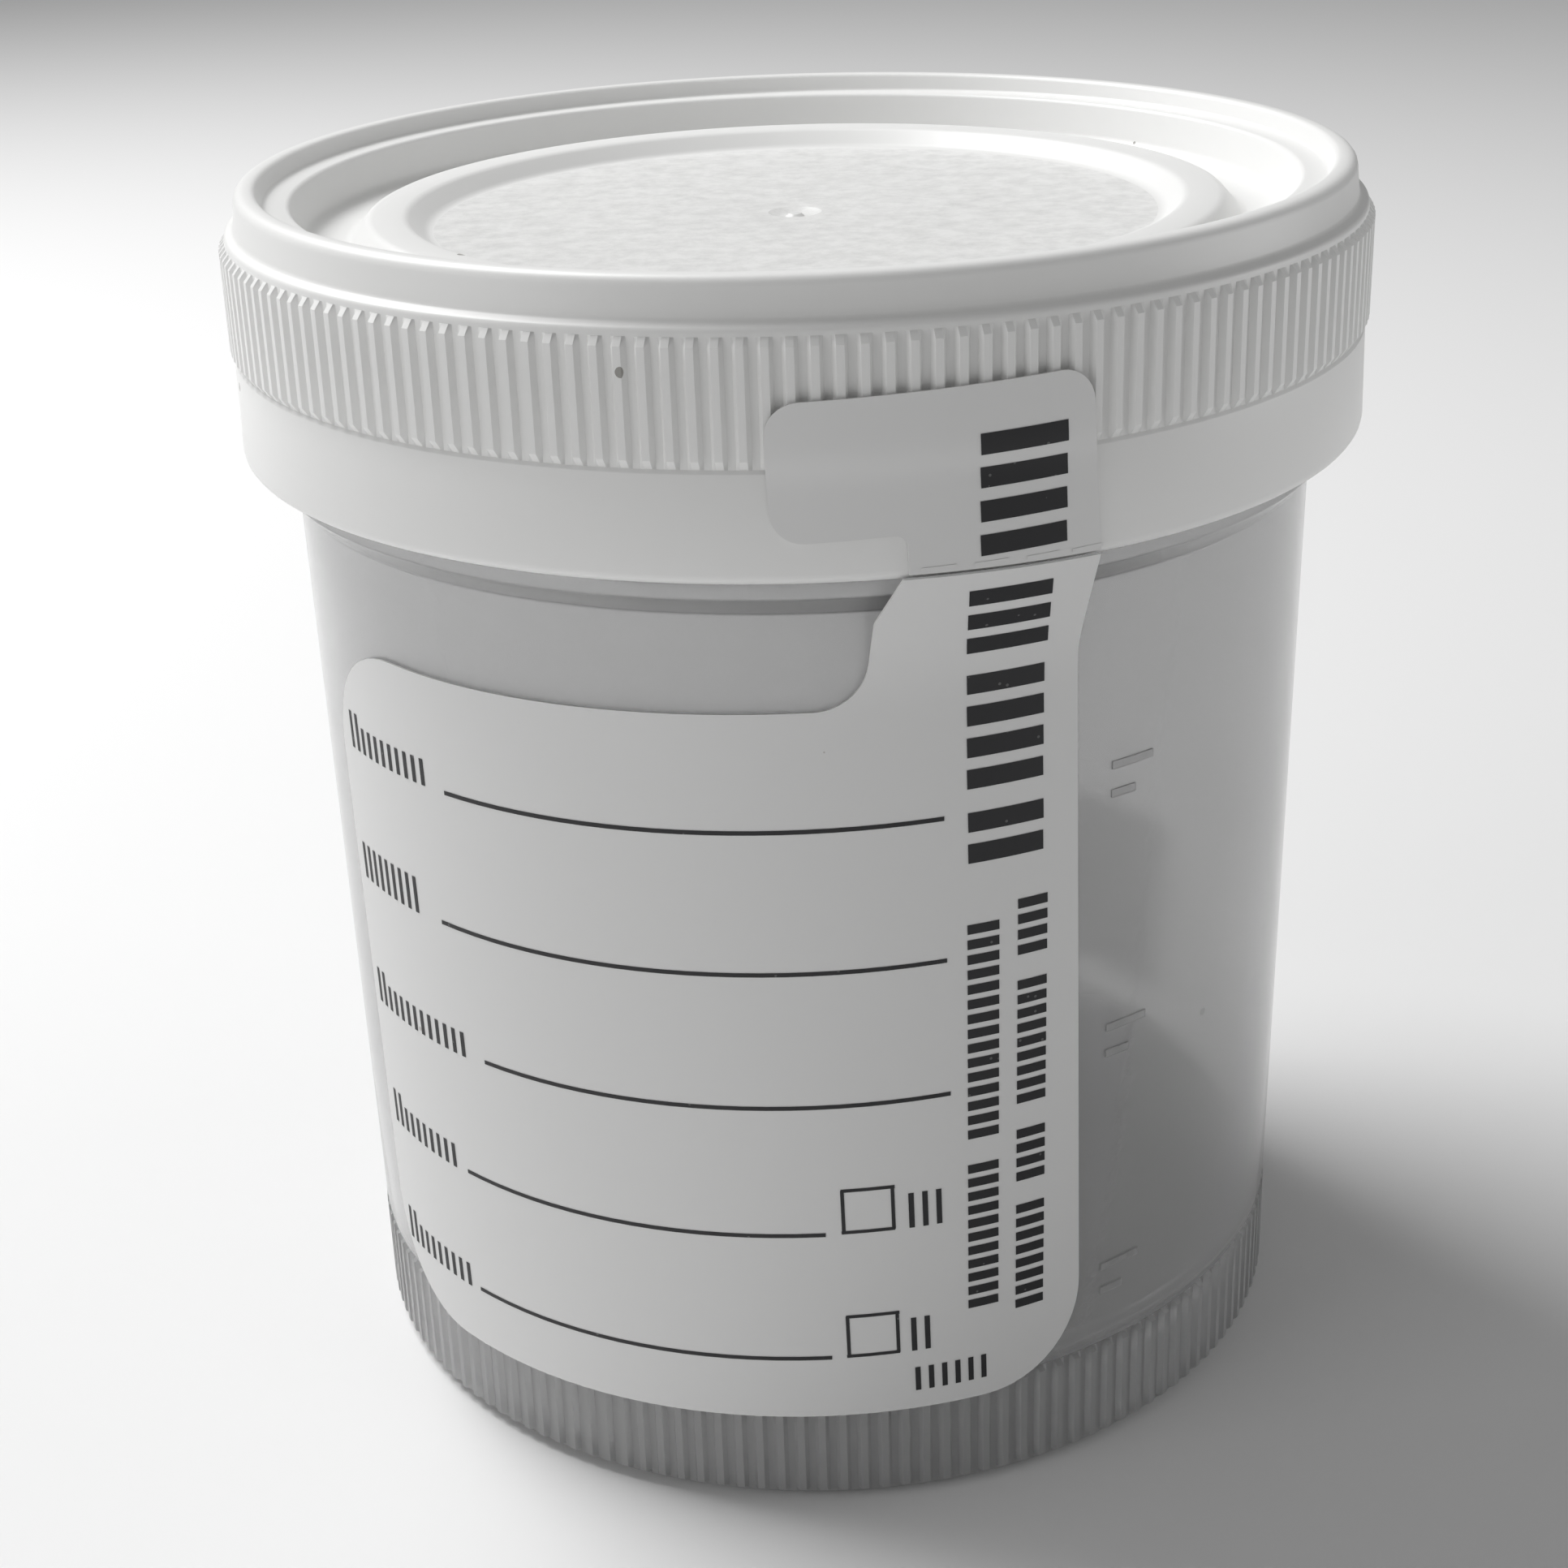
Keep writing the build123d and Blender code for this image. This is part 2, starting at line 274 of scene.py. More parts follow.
lidShape = {
    # radius, height, and for a soft corner its rounding and steps
    "gateMark": [(0, 67.16), (0.35, 67.16), (0.55, 67.0), (1.0, 67.0), (1.5, 67.25, 0.2, 2)],
    "disc": [(9, 67.25), (20.6, 67.25, 0.9, 3)],
    "raisedRing": [(21.75, 68.25, 0.7, 3), (23.85, 68.25, 0.7, 3)],
    "channel": [(24.9, 67.05, 0.8, 3), (27.3, 67.05, 0.8, 3)],
    "step": [(28.0, 69.45, 0.3, 3), (29.4, 69.45, 0.25, 3)],
    "rim": [(29.8, 70.48, 0.35, 3), (30.9, 70.48, 0.6, 4), (31.1, 68.45, 0.3, 2)],
    "shoulder": (68.2, 0.3, 4), "ribRings": {"above": 67.85, "middle": 64.8, "below": 61.62},
    "plainBand": [(31.8, 61.45, 0.1, 2), (31.93, 56.0, 0.55, 4)],
    "skirt": 56.0, "skirtWidth": 0.6, "skirtSoft": (0.2, 2),
    "bore": 30.3, "boreFoot": (56.8, 0.3, 2), "land": 65.95, "landSoft": (0.6, 3),
    "plug": [(27.15, 63.6, 0.25, 2), (26.4, 63.6, 0.25, 2), (26.3, 66.05, 0.5, 2)],
    "plugOut": 27.45, "under": 66.05,
    "rib": {
        "count": 176, "steps": 6, "crest": 32.0, "floor": 31.66, "low": 62.1, "high": 67.45,
        "crestShare": 0.26,
    },
}


def makeLid(shape):
    rib, rings, bore, land = shape["rib"], shape["ribRings"], shape["bore"], shape["land"]
    top = [shape[part] for part in ("gateMark", "disc", "raisedRing", "channel", "step", "rim")]
    side = [
        (rib["floor"], *shape["shoulder"]),
        (rib["floor"], rings["above"]),
        (rib["floor"], rib["high"]),
        (rib["floor"], rings["middle"]),
        (rib["floor"], rib["low"]),
        (rib["floor"], rings["below"]),
    ]
    inside = [
        (bore + shape["skirtWidth"], shape["skirt"], *shape["skirtSoft"]),
        (bore, *shape["boreFoot"]),
        (bore, land, *shape["landSoft"]),
        (shape["plugOut"], land),
    ]
    corners = sum(top, []) + side + shape["plainBand"] + inside + shape["plug"]
    obj = drawChain("lidBody", roundedCorners(corners + [(0, shape["under"])]))
    turnRow(obj, rib)
    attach(obj, "lid_body")
    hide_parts("lid")
    return obj


lidBody = makeLid(lidShape)
print("lid made", len(lidBody.data.polygons))


# Paper: the sheet laid round the cup, its strip up to the lid, and the flag on the lid

paper = {
    "thick": 0.12, "cupGap": 0.12, "lidGap": 0.08, "tearHeight": 56.32, "tearGap": 0.1,
    "tentFoot": 50.6, "bend": 1.9, "lidEdge": 31.92, "runOn": 9,
    "lidFace": [(31.95, 50), (31.81, 61.3), (32.0, 62.15), (32.0, 80)], "lidBend": 0.5,
    "firstColumn": -40.0, "columns": 1.3, "firstRow": 2.0, "rows": 1.5,
    "fineAbove": 47.5, "fineRows": 0.45, "margin": 0.01, "probe": 0.2,
    "panelMiddle": (-9.4, 27.1), "panelLean": 0.0214,
    "panel": [
        (-32.5, 5.85, 7.2, 14), (13.7, 5.85, 6.0, 12), (13.7, 50.0, 6, 4), (14.6, 56.22),
        (14.6, 57.7), (4.67, 57.7), (4.67, 56.22), (3.05, 53.3, 0.9, 4), (2.45, 48.35, 2.8, 9),
        (-32.5, 48.35, 7.2, 14),
    ],
    "flagMiddle": (6.75, 60.0), "flagLean": 0.04,
    "flag": [
        (4.0, 54.8), (13.8, 54.8), (13.5, 65.2, 1.7, 8), (-2.35, 65.2, 1.7, 8),
        (-2.35, 58.42, 1.6, 7), (4.0, 58.42, 0.6, 5),
    ],
}


def softLine(points, soft, z):
    # Radius along (radius, height) points at a height, each bend eased a short way up and down
    def straight(at):
        for (r0, z0), (r1, z1) in zip(points, points[1:]):
            if at <= z1:
                return r0 + (r1 - r0) * (at - z0) / (z1 - z0)
        return points[-1][0]

    return sum(straight(z + soft * step / 4) for step in range(-4, 5)) / 9


def labelRadius(z):
    # Inner face of the front label: on the wall, then tented out to the lid's edge
    runOn = paper["runOn"]
    tearLine = paper["tearHeight"] - paper["tearGap"]
    foot = (wallRadius(paper["tentFoot"]) + paper["cupGap"], paper["tentFoot"])
    lidEdge = paper["lidEdge"] + paper["lidGap"]
    slope = (lidEdge - foot[0]) / (tearLine - foot[1])
    wallLow = (wallRadius(-runOn) + paper["cupGap"], -runOn)
    above = (lidEdge + slope * runOn, tearLine + runOn)
    return softLine([wallLow, foot, above], paper["bend"], z)


def flagRadius(z):
    # Inner face of the flag: over the plain band, a small step, then over the rib crests
    face = [(radius + paper["lidGap"], height) for radius, height in paper["lidFace"]]
    return softLine(face, paper["lidBend"], z)


def leaned(corners, middle, slope):
    # The outline turned a little round its middle, as a hand-laid sheet sits
    result = []
    for corner in corners:
        ds, dz = corner[0] - middle[0], corner[1] - middle[1]
        place = (middle[0] + ds - slope * dz, middle[1] + dz + slope * ds)
        result.append(place + tuple(corner[2:]))
    return result


def gridLines(low, high, upwards):
    # The same grid for paper and print, so that the print lies parallel to the paper
    lines = []
    at = paper["firstRow"] if upwards else paper["firstColumn"]
    while at < high:
        if at > low:
            lines.append(at)
        if not upwards:
            at += paper["columns"]
        elif at < paper["fineAbove"]:
            at += paper["rows"]
        else:
            at += paper["fineRows"]
    return lines


def flatSheet(name, outline):
    # A filled outline, bisected into small cells so that it can be laid round the cup
    obj = drawChain(name, outline)
    margin = paper["margin"]
    bpy.ops.mesh.select_all(action="SELECT")
    bpy.ops.mesh.edge_face_add()
    for upwards, normal in ((False, (1, 0, 0)), (True, (0, 0, 1))):
        values = [point[1 if upwards else 0] for point in outline]
        for line in gridLines(min(values) + margin, max(values) - margin, upwards):
            place = (0, 0, line * mm) if upwards else (line * mm, 0, 0)
            bpy.ops.mesh.select_all(action="SELECT")
            bpy.ops.mesh.bisect(
                plane_co=place, plane_no=normal, threshold=modelling["cut"] * mm
            )
    bpy.ops.mesh.select_all(action="SELECT")
    bpy.ops.mesh.remove_doubles(threshold=modelling["sheetMerge"] * mm)
    leaveEdit()
    return obj


def cutAcross(obj, height, keepBelow):
    # The tear line: what lies past it is cut away
    editAll(obj)
    bpy.ops.mesh.bisect(
        plane_co=(0, 0, height * mm), plane_no=(0, 0, 1), clear_outer=keepBelow,
        clear_inner=not keepBelow,
    )
    leaveEdit()


def laidRound(obj, radiusAt, lift):
    # No operator lays a sheet on a drafted wall with a tent, so each point goes to its place
    probe = paper["probe"]
    for vertex in obj.data.vertices:
        s, z = vertex.co.x / mm, vertex.co.z / mm
        radius = radiusAt(z)
        slope = (radiusAt(z + probe) - radiusAt(z - probe)) / (2 * probe)
        out = radius + lift / math.hypot(1, slope)
        up = z - lift * slope / math.hypot(1, slope)
        vertex.co = Vector((out * math.sin(s / radius), -out * math.cos(s / radius), up)) * mm


def thicken(obj, thickness):
    # Normals outward first, then a wall grown outwards
    editAll(obj)
    bpy.ops.mesh.normals_make_consistent(inside=False)
    leaveEdit()
    outward = 0
    for face in obj.data.polygons:
        outward += face.normal.dot(Vector((face.center.x, face.center.y, 0))) * face.area
    if outward < 0:
        editAll(obj)
        bpy.ops.mesh.flip_normals()
        leaveEdit()
    applyModifier(obj, "SOLIDIFY", thickness=thickness * mm, offset=1, use_even_offset=True)
    bpy.ops.object.shade_smooth_by_angle(angle=math.radians(modelling["paperEdge"]))


def makeLabel():
    outline = leaned(paper["panel"], paper["panelMiddle"], paper["panelLean"])
    obj = flatSheet("frontLabel", roundedCorners(outline))
    cutAcross(obj, paper["tearHeight"] - paper["tearGap"], True)
    laidRound(obj, labelRadius, 0)
    thicken(obj, paper["thick"])
    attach(obj, "cup_body")
    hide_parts("label")
    return obj


def makeFlag():
    outline = leaned(paper["flag"], paper["flagMiddle"], paper["flagLean"])
    obj = flatSheet("sealFlag", roundedCorners(outline))
    cutAcross(obj, paper["tearHeight"], False)
    laidRound(obj, flagRadius, 0)
    thicken(obj, paper["thick"])
    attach(obj, "lid_body")
    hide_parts("seal_tab")
    return obj


frontLabel = makeLabel()
sealFlag = makeFlag()
print("paper made", len(frontLabel.data.polygons), len(sealFlag.data.polygons))


# Print: ruled lines, two boxes, and rows of plain strokes and bars

printing = {
    "lift": 0.012, "thick": 0.012, "lineWidth": 0.24, "boxWidth": 0.2,
    "lines": [  # left end, its height, right end, its height
        (-21.8, 41.62, 5.95, 42.28), (-23.1, 33.52, 6.05, 34.2), (-20.6, 25.6, 6.2, 26.22),
        (-23.0, 17.55, -0.65, 18.07), (-22.9, 9.5, -0.5, 10.0),
    ],
    "boxes": [(0.2, 18.1, 3.1, 20.95), (0.32, 9.98, 3.25, 12.8)],
    "strokeRows": [  # left, foot, how many strokes, how many of them tall
        (-31.3, 41.4, 11, 2), (-31.6, 33.2, 9, 9), (-31.6, 25.15, 13, 2), (-31.2, 17.2, 10, 2),
        (-30.9, 9.15, 10, 2), (3.85, 18.15, 3, 3), (3.9, 10.05, 2, 2), (4.1, 7.35, 6, 0),
    ],
    "stroke": 0.3, "strokeStep": 0.76, "low": 1.55, "tall": 2.2,
    "barStacks": [  # left, right, foot, head, how many bars
        (7.2, 11.35, 39.6, 43.1, 2), (7.15, 11.3, 43.75, 50.6, 4), (7.1, 11.4, 51.25, 55.7, 3),
        (9.95, 11.65, 11.6, 18.7, 8), (9.95, 11.65, 19.9, 23.5, 4),
        (9.95, 11.65, 24.8, 32.6, 9), (9.95, 11.65, 33.8, 37.4, 4),
        (7.15, 8.9, 12.3, 21.9, 11), (7.15, 8.9, 23.2, 36.4, 15),
    ],
    "flagStack": (7.6, 12.0, 57.0, 63.6, 4),
    "barShare": 0.62,
}


def bar(s0, z0, s1, z1, slope):
    # A plain upright rectangle, leaned with the sheet it is printed on
    corners = [(s0, z0), (s1, z0), (s1, z1), (s0, z1)]
    return leaned(corners, ((s0 + s1) / 2, (z0 + z1) / 2), slope)


def strokeRow(left, foot, count, tall):
    shapes = []
    slope = paper["panelLean"]
    for index in range(count):
        along = index * printing["strokeStep"]
        height = printing["tall"] if index < tall else printing["low"]
        rise = foot + slope * index * printing["strokeStep"]
        at = left + along
        shapes.append(bar(at, rise, at + printing["stroke"], rise + height, slope))
    return shapes


def barStack(left, right, foot, head, count, slope):
    shapes = []
    step = (head - foot) / count
    for index in range(count):
        low = foot + index * step
        shapes.append(bar(left, low, right, low + step * printing["barShare"], slope))
    return shapes


def joinSheets(name, shapes):
    parts = [flatSheet(name + str(index), corners) for index, corners in enumerate(shapes)]
    clearSelection()
    for part in parts:
        part.select_set(True)
    bpy.context.view_layer.objects.active = parts[0]
    bpy.ops.object.join()
    obj = bpy.context.object
    rename(obj, name)
    return obj


def inkPiece(name, shapes, radiusAt, body):
    obj = joinSheets(name, shapes)
    laidRound(obj, radiusAt, paper["thick"] + printing["lift"])
    thicken(obj, printing["thick"])
    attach(obj, body)
    return obj


def makeLabelPrint():
    slope = paper["panelLean"]
    thin = printing["lineWidth"] / 2
    wide = printing["boxWidth"]
    shapes = []
    for s0, z0, s1, z1 in printing["lines"]:
        shapes.append([(s0, z0 - thin), (s1, z1 - thin), (s1, z1 + thin), (s0, z0 + thin)])
    for s0, z0, s1, z1 in printing["boxes"]:
        shapes.append(bar(s0, z0, s1, z0 + wide, slope))
        shapes.append(bar(s0, z1 - wide, s1, z1, slope))
        shapes.append(bar(s0, z0 + wide / 2, s0 + wide, z1 - wide / 2, slope))
        shapes.append(bar(s1 - wide, z0 + wide / 2, s1, z1 - wide / 2, slope))
    for row in printing["strokeRows"]:
        shapes += strokeRow(*row)
    for stack in printing["barStacks"]:
        shapes += barStack(*stack, slope)
    return inkPiece("labelPrint", shapes, labelRadius, "cup_body")


def makeFlagPrint():
    shapes = barStack(*printing["flagStack"], paper["flagLean"])
    return inkPiece("flagPrint", shapes, flagRadius, "lid_body")


tear = {
    "foot": 56.44, "head": 56.62, "rise": 0.05,
    "dashes": [(4.7, 6.4), (7.3, 9.0), (9.9, 11.6), (12.3, 14.0)],
}


def makeTearEdge():
    # Lifted fibres where the seal is perforated
    foot, head, rise = tear["foot"], tear["head"], tear["rise"]
    shapes = []
    for s0, s1 in tear["dashes"]:
        shapes.append([(s0, foot), (s1, foot + rise), (s1, head + rise), (s0, head)])
    return inkPiece("tearEdge", shapes, flagRadius, "lid_body")


scale = {
    "heights": [12.0, 27.5, 43.0], "left": 15.6, "right": 18.4, "shortRight": 17.2,
    "tall": 0.45, "shortBelow": 1.6, "lift": 0.005, "proud": 0.1,
}


def makeScaleTicks():
    # Plain moulded ticks beside the label, a long one and a short one at each height
    shapes = []
    for height in scale["heights"]:
        below = height - scale["shortBelow"]
        shapes.append(bar(scale["left"], height, scale["right"], height + scale["tall"], 0))
        shapes.append(bar(scale["left"], below, scale["shortRight"], below + scale["tall"], 0))
    obj = joinSheets("scaleTicks", shapes)
    laidRound(obj, wallRadius, scale["lift"])
    thicken(obj, scale["proud"])
    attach(obj, "cup_body")
    return obj


tearEdge = makeTearEdge()
scaleTicks = makeScaleTicks()
labelPrint = makeLabelPrint()
flagPrint = makeFlagPrint()
print("print made", len(labelPrint.data.polygons))


# Threads on the neck and in the lid's bore

threadShape = {
    "pitch": 4.2, "turns": 1.25, "halfRoot": 0.75, "halfCrest": 0.28, "steps": 120,
    "fade": 0.25,  # the angle over which an end sinks into the wall
    "neck": {"root": 28.85, "crest": 29.5, "low": 58.2},
    "bore": {"root": 30.35, "crest": 29.75, "low": 58.6},
}


def makeThread(name, coil, body):
    root, crest, low = coil["root"], coil["crest"], coil["low"]
    halfRoot, halfCrest = threadShape["halfRoot"], threadShape["halfCrest"]
    pitch, turns = threadShape["pitch"], threadShape["turns"]
    points = [
        (root, low - halfRoot), (crest, low - halfCrest), (crest, low + halfCrest),
        (root, low + halfRoot), (root, low - halfRoot),
    ]
    obj = drawChain(name, points)
    leaveEdit()
    applyModifier(
        obj, "SCREW", angle=2 * math.pi * turns, screw_offset=pitch * mm * turns,
        steps=threadShape["steps"], render_steps=threadShape["steps"],
        use_merge_vertices=True, merge_threshold=modelling["rowMerge"] * mm,
    )
    total = 2 * math.pi * turns
    for vertex in obj.data.vertices:
        rise = (vertex.co.z / mm - low) / pitch / turns
        near = min(max(rise, 0), max(1 - rise, 0)) * total
        sunk = min(near / threadShape["fade"], 1)
        radius = math.hypot(vertex.co.x, vertex.co.y)
        wanted = root * mm + (radius - root * mm) * sunk
        vertex.co.x *= wanted / radius
        vertex.co.y *= wanted / radius
    editAll(obj)
    bpy.ops.mesh.remove_doubles(threshold=modelling["rowMerge"] * mm)
    bpy.ops.mesh.select_all(action="DESELECT")
    bpy.ops.mesh.select_non_manifold()
    bpy.ops.mesh.edge_face_add()
    closeUp(obj)
    faceOut(obj)
    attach(obj, body)
    return obj


neckThread = makeThread("neckThread", threadShape["neck"], "cup_body")
boreThread = makeThread("boreThread", threadShape["bore"], "lid_body")
print("threads made")


# Shared effects

def addNode(tree, kind, operation=None):
    node = tree.nodes.new("ShaderNode" + kind)
    if operation:
        node.operation = operation
    return node


def wire(tree, *pairs):
    for source, target in pairs:
        tree.links.new(source, target)


def calculate(tree, operation, first, second):
    # A maths node fed by two outputs
    node = addNode(tree, "Math", operation)
    wire(tree, (first, node.inputs[0]), (second, node.inputs[1]))
    return node.outputs["Value"]


def newGroup(name, inputs, outputs):
    group = bpy.data.node_groups.new(name, "ShaderNodeTree")
    for label, kind, value in [("Vector", "NodeSocketVector", None)] + inputs:
        socket = group.interface.new_socket(name=label, in_out="INPUT", socket_type=kind)
        if value is not None:
            socket.default_value = value
    for label, kind in outputs:
        group.interface.new_socket(name=label, in_out="OUTPUT", socket_type=kind)
    start = group.nodes.new("NodeGroupInput").outputs
    end = group.nodes.new("NodeGroupOutput").inputs
    return group, start, end


def mouldGrain():
    # Fine mottling of a moulded surface, as a height
    group, start, end = newGroup(
        "mouldGrain",
        [("Scale", "NodeSocketFloat", 900.0), ("Detail", "NodeSocketFloat", 3.0)],
        [("Height", "NodeSocketFloat")],
    )
    noise = addNode(group, "TexNoise")
    for label in ("Vector", "Scale", "Detail"):
        wire(group, (start[label], noise.inputs[label]))
    wire(group, (noise.outputs["Fac"], end["Height"]))
    return group


def dustSpecks():
    # Sparse dark specks, as a mask
    group, start, end = newGroup(
        "dustSpecks",
        [("Scale", "NodeSocketFloat", 260.0), ("Size", "NodeSocketFloat", 0.06),
         ("Spread", "NodeSocketFloat", 0.62)],
        [("Mask", "NodeSocketFloat")],
    )
    cells = addNode(group, "TexVoronoi")
    cells.feature = "F1"
    for label in ("Vector", "Scale"):
        wire(group, (start[label], cells.inputs[label]))
    spot = calculate(group, "LESS_THAN", cells.outputs["Distance"], start["Size"])
    patch = addNode(group, "SeparateColor")
    wire(group, (cells.outputs["Color"], patch.inputs["Color"]))
    chosen = calculate(group, "GREATER_THAN", patch.outputs["Red"], start["Spread"])
    wire(group, (calculate(group, "MULTIPLY", spot, chosen), end["Mask"]))
    return group


def wornPatch():
    # Cloudy mottling inside a circle round the axis, as a mask
    group, start, end = newGroup(
        "wornPatch",
        [("Radius", "NodeSocketFloat", 0.0203), ("Scale", "NodeSocketFloat", 700.0),
         ("Amount", "NodeSocketFloat", 1.0), ("Low", "NodeSocketFloat", 0.38),
         ("High", "NodeSocketFloat", 0.68)],
        [("Mask", "NodeSocketFloat")],
    )
    flat = addNode(group, "VectorMath", "MULTIPLY")
    flat.inputs[1].default_value = (1, 1, 0)
    away = addNode(group, "VectorMath", "LENGTH")
    wire(group, (start["Vector"], flat.inputs[0]), (flat.outputs["Vector"], away.inputs[0]))
    inside = calculate(group, "LESS_THAN", away.outputs["Value"], start["Radius"])
    fine = addNode(group, "TexNoise")
    fine.inputs["Detail"].default_value = 5.0
    fine.inputs["Roughness"].default_value = 0.7
    for label in ("Vector", "Scale"):
        wire(group, (start[label], fine.inputs[label]))
    steep = addNode(group, "MapRange")
    wire(
        group, (start["Low"], steep.inputs["From Min"]), (start["High"], steep.inputs["From Max"]),
        (fine.outputs["Fac"], steep.inputs["Value"]),
    )
    both = calculate(group, "MULTIPLY", steep.outputs["Result"], inside)
    wire(group, (calculate(group, "MULTIPLY", both, start["Amount"]), end["Mask"]))
    return group


wornGroup = wornPatch()
grainGroup = mouldGrain()
speckGroup = dustSpecks()


# Finishes: "even" holds what is the same all over, by the shader's own sockets

finishes = {
    "milky": {
        "even": {"Transmission Weight": 0.72, "IOR": 1.49},
        "roughness": 0.12, "ribRoughness": 0.4, "ribTop": 0.0068, "ribFade": 0.0004,
        "color": (0.80, 0.80, 0.80, 1), "speckColor": (0.45, 0.45, 0.43, 1),
        "specks": {"Scale": 190.0, "Size": 0.05, "Spread": 0.9},
        "grain": {"Scale": 700.0}, "bump": {"Strength": 0.25, "Distance": 0.00003},
    },
    "white": {
        "even": {
            "Roughness": 0.38, "IOR": 1.49, "Subsurface Weight": 0.15,
            "Subsurface Scale": 0.002, "Subsurface Radius": (1, 1, 1),
        },
        "color": (0.86, 0.86, 0.85, 1), "speckColor": (0.35, 0.34, 0.32, 1),
        "specks": {"Scale": 230.0, "Size": 0.07, "Spread": 0.93},
        "grain": {"Scale": 800.0}, "bump": {"Strength": 0.3, "Distance": 0.00003},
        "worn": {"Amount": 0.55}, "wornColor": (0.60, 0.60, 0.59, 1), "wornHeight": 2.5,
    },
    "paper": {
        "even": {"Roughness": 0.55},
        "color": (0.78, 0.78, 0.775, 1), "speckColor": (0.55, 0.54, 0.52, 1),
        "specks": {"Scale": 260.0, "Size": 0.06, "Spread": 0.95},
        "grain": {"Scale": 1600.0}, "bump": {"Strength": 0.2, "Distance": 0.00002},
    },
    "thinPaper": {  # thin enough for the light behind it to come through
        "even": {
            "Roughness": 0.5, "Subsurface Weight": 0.9, "Subsurface Scale": 0.002,
            "Subsurface Radius": (1, 1, 1),
        },
        "color": (0.93, 0.93, 0.92, 1), "speckColor": (0.6, 0.6, 0.58, 1),
        "specks": {"Scale": 260.0, "Size": 0.06, "Spread": 0.95},
        "grain": {"Scale": 1600.0}, "bump": {"Strength": 0.2, "Distance": 0.00002},
    },
    "ink": {
        "even": {"Roughness": 0.5},
        "color": (0.012, 0.012, 0.014, 1), "speckColor": (0.1, 0.1, 0.1, 1),
        "specks": {"Scale": 2500.0, "Size": 0.2, "Spread": 0.9},
        "grain": {"Scale": 1600.0}, "bump": {"Strength": 0.2, "Distance": 0.00001},
    },
}


def fill(node, values):
    for label, value in values.items():
        node.inputs[label].default_value = value


def newMaterial(name, even):
    material = bpy.data.materials.new(name)
    material.use_nodes = True
    tree = material.node_tree
    shader = tree.nodes["Principled BSDF"]
    fill(shader, even)
    return material, tree, shader


def placeGroup(tree, place, group, values):
    # A shared effect in one material, with that material's own values
    node = addNode(tree, "Group")
    node.node_tree = group
    fill(node, values)
    wire(tree, (place.outputs["Object"], node.inputs["Vector"]))
    return node


def blend(tree, mask, first, second):
    # Two colours mixed by a mask, the first a plain colour or a node's output
    mix = addNode(tree, "Mix")
    mix.data_type = "RGBA"
    if isinstance(first, tuple):
        mix.inputs["A"].default_value = first
    else:
        wire(tree, (first, mix.inputs["A"]))
    mix.inputs["B"].default_value = second
    wire(tree, (mask, mix.inputs["Factor"]))
    return mix.outputs["Result"]


def makeFinish(name, look):
    # Specks in the colour and grain in the normal, and the mottled patch where there is one
    material, tree, shader = newMaterial(name, look["even"])
    place = addNode(tree, "TexCoord")
    specks = placeGroup(tree, place, speckGroup, look["specks"])
    color = blend(tree, specks.outputs["Mask"], look["color"], look["speckColor"])
    height = placeGroup(tree, place, grainGroup, look["grain"]).outputs["Height"]
    if "worn" in look:
        worn = placeGroup(tree, place, wornGroup, look["worn"]).outputs["Mask"]
        color = blend(tree, worn, color, look["wornColor"])
        rough = addNode(tree, "Math", "MULTIPLY_ADD")
        rough.inputs[1].default_value = look["wornHeight"]
        wire(tree, (worn, rough.inputs[0]), (height, rough.inputs[2]))
        height = rough.outputs["Value"]
    bump = addNode(tree, "Bump")
    fill(bump, look["bump"])
    wire(
        tree, (color, shader.inputs["Base Color"]), (height, bump.inputs["Height"]),
        (bump.outputs["Normal"], shader.inputs["Normal"]),
    )
    return material


def dullFoot(material, look):
    # The ribbed foot is duller than the wall above it
    tree = material.node_tree
    place = addNode(tree, "TexCoord")
    split = addNode(tree, "SeparateXYZ")
    atFoot = addNode(tree, "MapRange")
    fill(atFoot, {
        "From Min": look["ribTop"], "From Max": look["ribTop"] + look["ribFade"],
        "To Min": look["ribRoughness"], "To Max": look["roughness"],
    })
    wire(
        tree, (place.outputs["Object"], split.inputs["Vector"]),
        (split.outputs["Z"], atFoot.inputs["Value"]),
        (atFoot.outputs["Result"], tree.nodes["Principled BSDF"].inputs["Roughness"]),
    )


def dress(obj, material):
    obj.data.materials.clear()
    obj.data.materials.append(material)


milky = makeFinish("milkyPlastic", finishes["milky"])
dullFoot(milky, finishes["milky"])
white = makeFinish("whitePlastic", finishes["white"])
sheetPaper = makeFinish("labelPaper", finishes["paper"])
thinPaper = makeFinish("stickerPaper", finishes["thinPaper"])
ink = makeFinish("blackInk", finishes["ink"])
for finish, pieces in (
    (milky, (cupBody, neckThread, scaleTicks, nodes["cup"])),
    (white, (lidBody, boreThread, nodes["lid"])),
    (sheetPaper, (frontLabel, sealFlag, tearEdge, nodes["label"], nodes["seal_tab"])),
    (thinPaper, (nodes["back_label"],)),
    (ink, (labelPrint, flagPrint)),
):
    for piece in pieces:
        dress(piece, finish)
print("materials made")


# Floor, light and camera

stage = {
    "floor": {"Base Color": (0.84, 0.84, 0.84, 1), "Roughness": 0.8}, "floorSize": 6,
    "world": {"Color": (1.0, 1.0, 1.0, 1), "Strength": 0.20},
    "aim": (0, 0, 0.035),
    "lights": [
        {"name": "keyLight", "place": (-0.30, 0.24, 0.55), "size": 0.35, "power": 4.3},
        {"name": "fillLight", "place": (-0.42, -0.26, 0.20), "size": 0.30, "power": 0.4},
        {"name": "edgeLight", "place": (0.50, 0.02, 0.08), "size": 0.30, "power": 0.55},
    ],
}


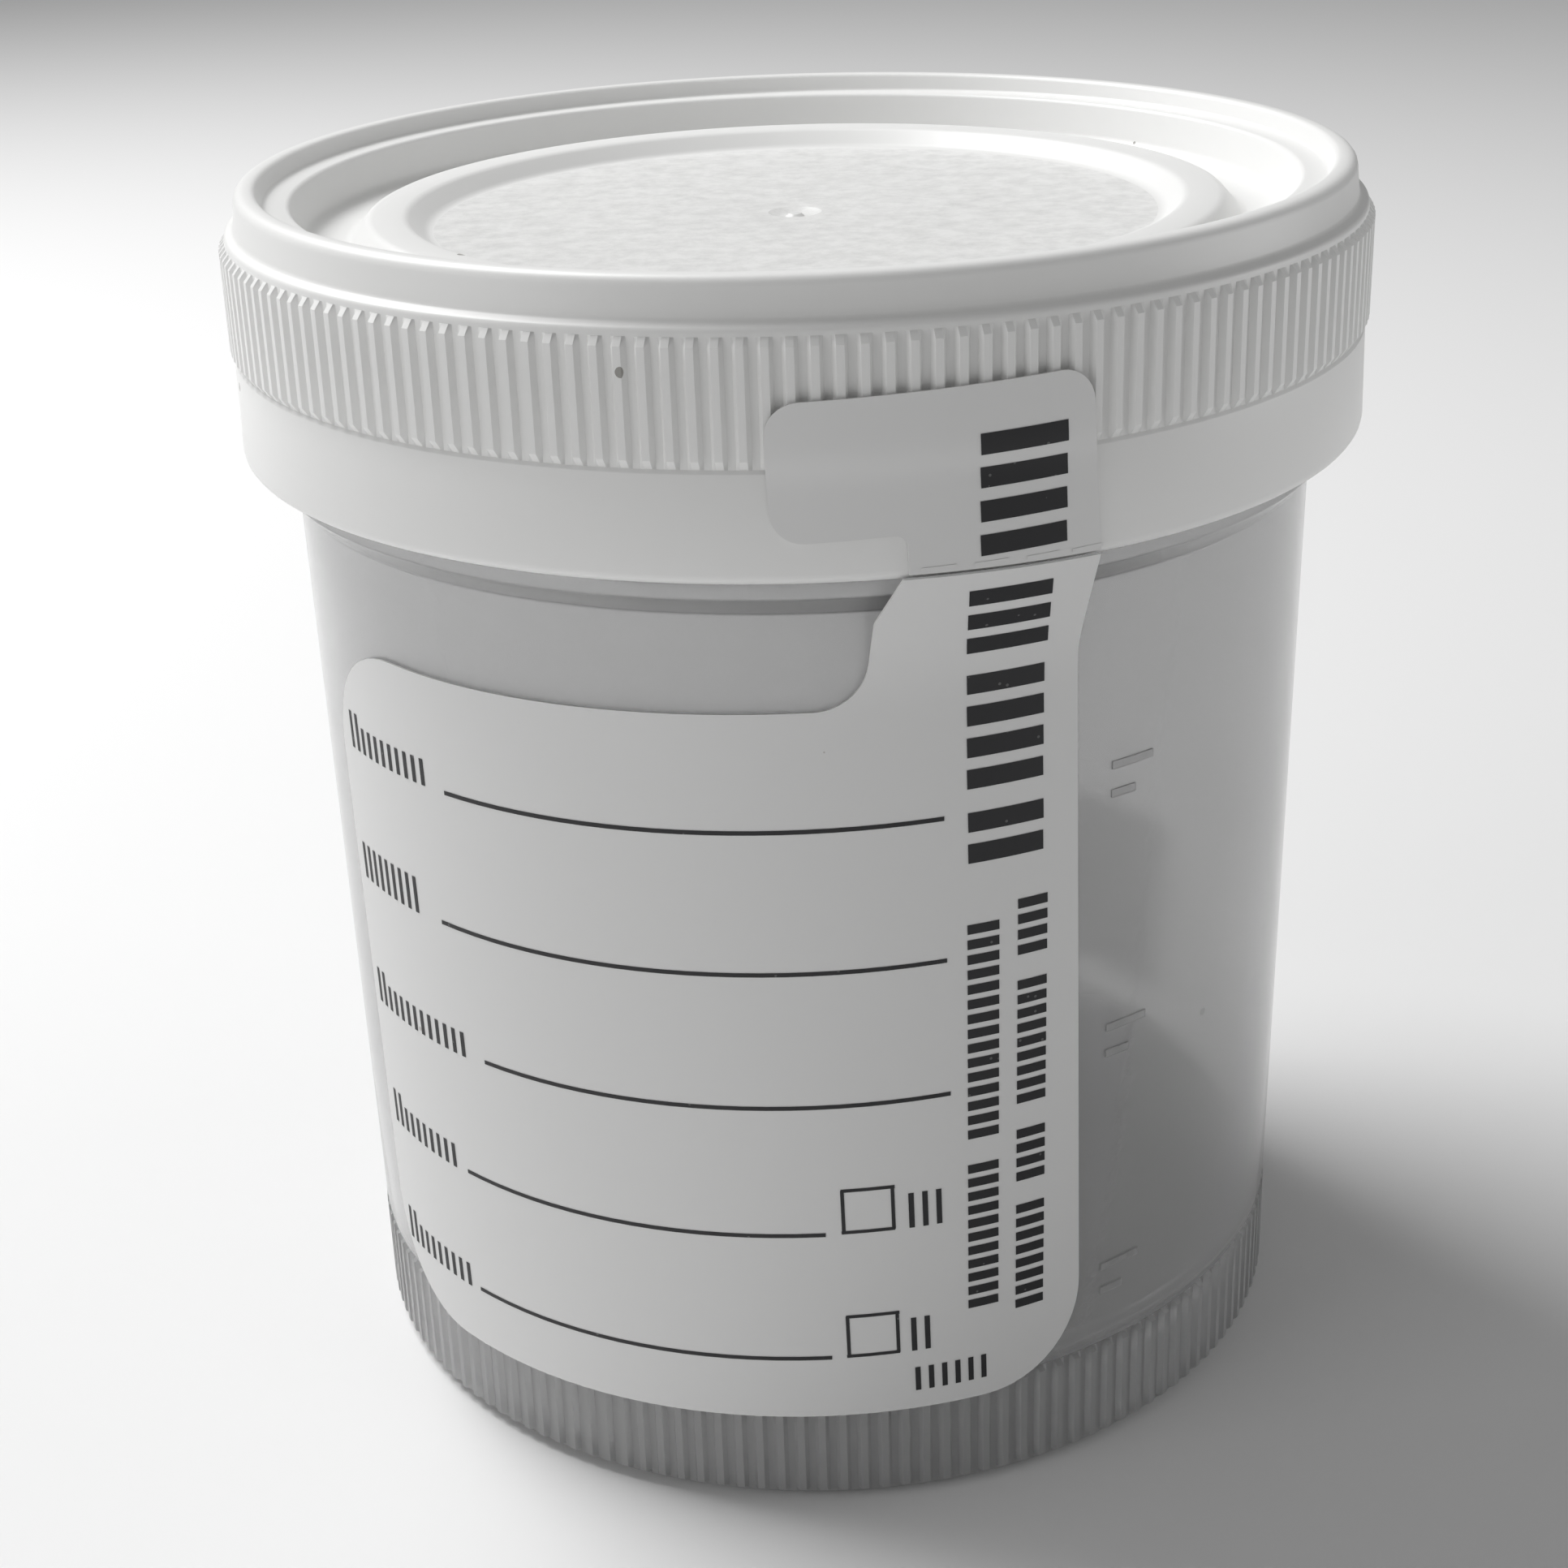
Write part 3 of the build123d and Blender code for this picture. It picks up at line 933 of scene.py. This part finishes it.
def makeFloor():
    clearSelection()
    bpy.ops.mesh.primitive_grid_add(
        x_subdivisions=2, y_subdivisions=2, size=stage["floorSize"], location=(0, 0, 0)
    )
    floor = bpy.context.object
    floor.name = "floor"
    dress(floor, newMaterial("floorPaint", stage["floor"])[0])


def makeLights():
    bpy.context.scene.view_settings.view_transform = "Standard"
    world = bpy.data.worlds.new("studio")
    bpy.context.scene.world = world
    world.use_nodes = True
    fill(world.node_tree.nodes["Background"], stage["world"])
    for settings in stage["lights"]:
        data = bpy.data.lights.new(settings["name"], "AREA")
        data.size = settings["size"]
        data.energy = settings["power"]
        lamp = bpy.data.objects.new(settings["name"], data)
        bpy.context.collection.objects.link(lamp)
        lamp.location = settings["place"]
        aim = Vector(stage["aim"]) - lamp.location
        lamp.rotation_euler = aim.to_track_quat("-Z", "Y").to_euler()


viewpoint = {
    "away": 0.14557, "height": 0.09568, "around": 1.268,  # metres, metres, degrees
    "pan": -0.69, "pitch": 23.628, "roll": -2.017,
    "focalPixels": 3158.1, "framePixels": 1932, "sensor": 36, "nearest": 0.005,
}


def makeCamera():
    data = bpy.data.cameras.new("camera")
    data.sensor_width = viewpoint["sensor"]
    data.lens = viewpoint["focalPixels"] / viewpoint["framePixels"] * viewpoint["sensor"]
    data.clip_start = viewpoint["nearest"]
    camera = bpy.data.objects.new("camera", data)
    bpy.context.collection.objects.link(camera)
    pan, pitch, roll = (math.radians(viewpoint[key]) for key in ("pan", "pitch", "roll"))
    level = math.cos(pitch)
    ahead = Vector((math.sin(pan) * level, math.cos(pan) * level, -math.sin(pitch)))
    right = ahead.cross(Vector((0, 0, 1))).normalized()
    up = right.cross(ahead)
    leanedRight = math.cos(roll) * right + math.sin(roll) * up
    leanedUp = -math.sin(roll) * right + math.cos(roll) * up
    turn = Matrix((leanedRight, leanedUp, -ahead)).transposed().to_4x4()
    place = Matrix.Translation((0, -viewpoint["away"], viewpoint["height"]))
    around = Matrix.Rotation(-math.radians(viewpoint["around"]), 4, "Z")
    camera.matrix_world = around @ place @ turn
    bpy.context.scene.camera = camera


makeFloor()
makeLights()
makeCamera()
print("stage made")
